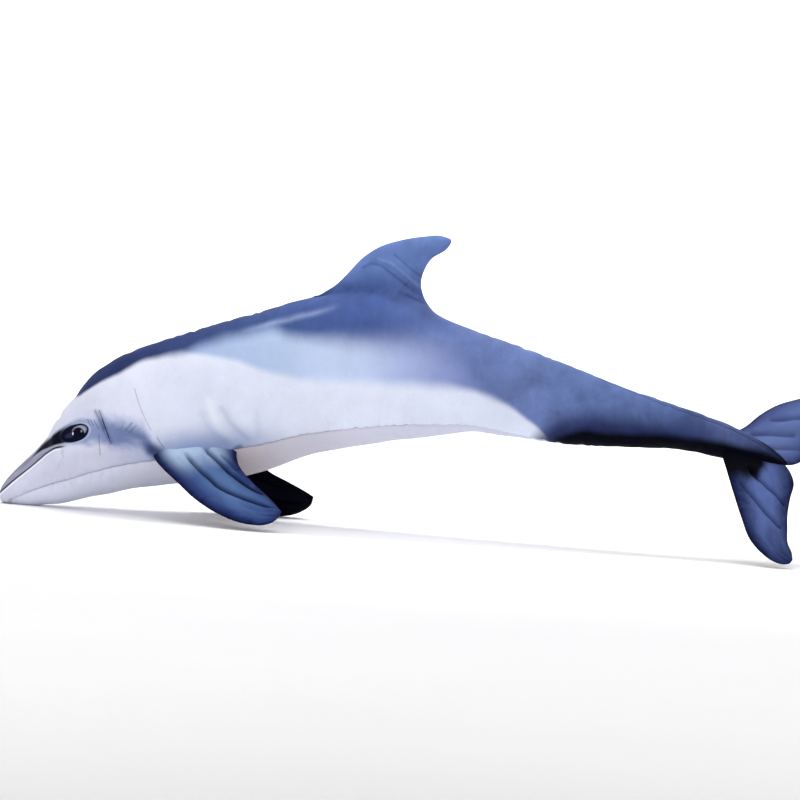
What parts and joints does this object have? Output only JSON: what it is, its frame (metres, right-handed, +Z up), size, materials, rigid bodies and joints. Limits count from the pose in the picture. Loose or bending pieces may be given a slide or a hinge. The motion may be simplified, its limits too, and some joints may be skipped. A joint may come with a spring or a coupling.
{
  "type": "plush dolphin",
  "caption": "Large stuffed plush dolphin with printed cloth skin, sewn side and belly panels, dorsal fin, flippers and flukes.",
  "frame": {"origin": "on the floor, under the middle of the dolphin's box", "axes": "+X from the beak to the tail; +Z up; the dolphin's own left side towards -Y"},
  "size_m": [1.2702, 0.3682, 0.4542],
  "materials": {
    "printed_side": "short-pile polyester velour, printed slate blue over the back and fading to pale lilac on the flank, soft sheen",
    "printed_belly": "short-pile polyester velour, printed pale grey, soft sheen",
    "printed_limb_top": "short-pile polyester velour, printed mid blue, soft sheen",
    "printed_limb_underside": "short-pile polyester velour, printed near-black navy, soft sheen",
    "stuffing": "matt loose fill"
  },
  "bodies": {
    "root": {"side_panel_left": "printed_side", "side_panel_right": "printed_side", "belly_panel": "printed_belly", "body_stuffing": "stuffing", "flipper_left_top": "printed_limb_top", "flipper_left_underside": "printed_limb_underside", "flipper_left_stuffing": "stuffing", "flipper_right_top": "printed_limb_top", "flipper_right_underside": "printed_limb_underside", "flipper_right_stuffing": "stuffing", "fluke_left_top": "printed_limb_top", "fluke_left_underside": "printed_limb_underside", "fluke_left_stuffing": "stuffing", "fluke_right_top": "printed_limb_top", "fluke_right_underside": "printed_limb_underside", "fluke_right_stuffing": "stuffing"}
  },
  "joints": []
}
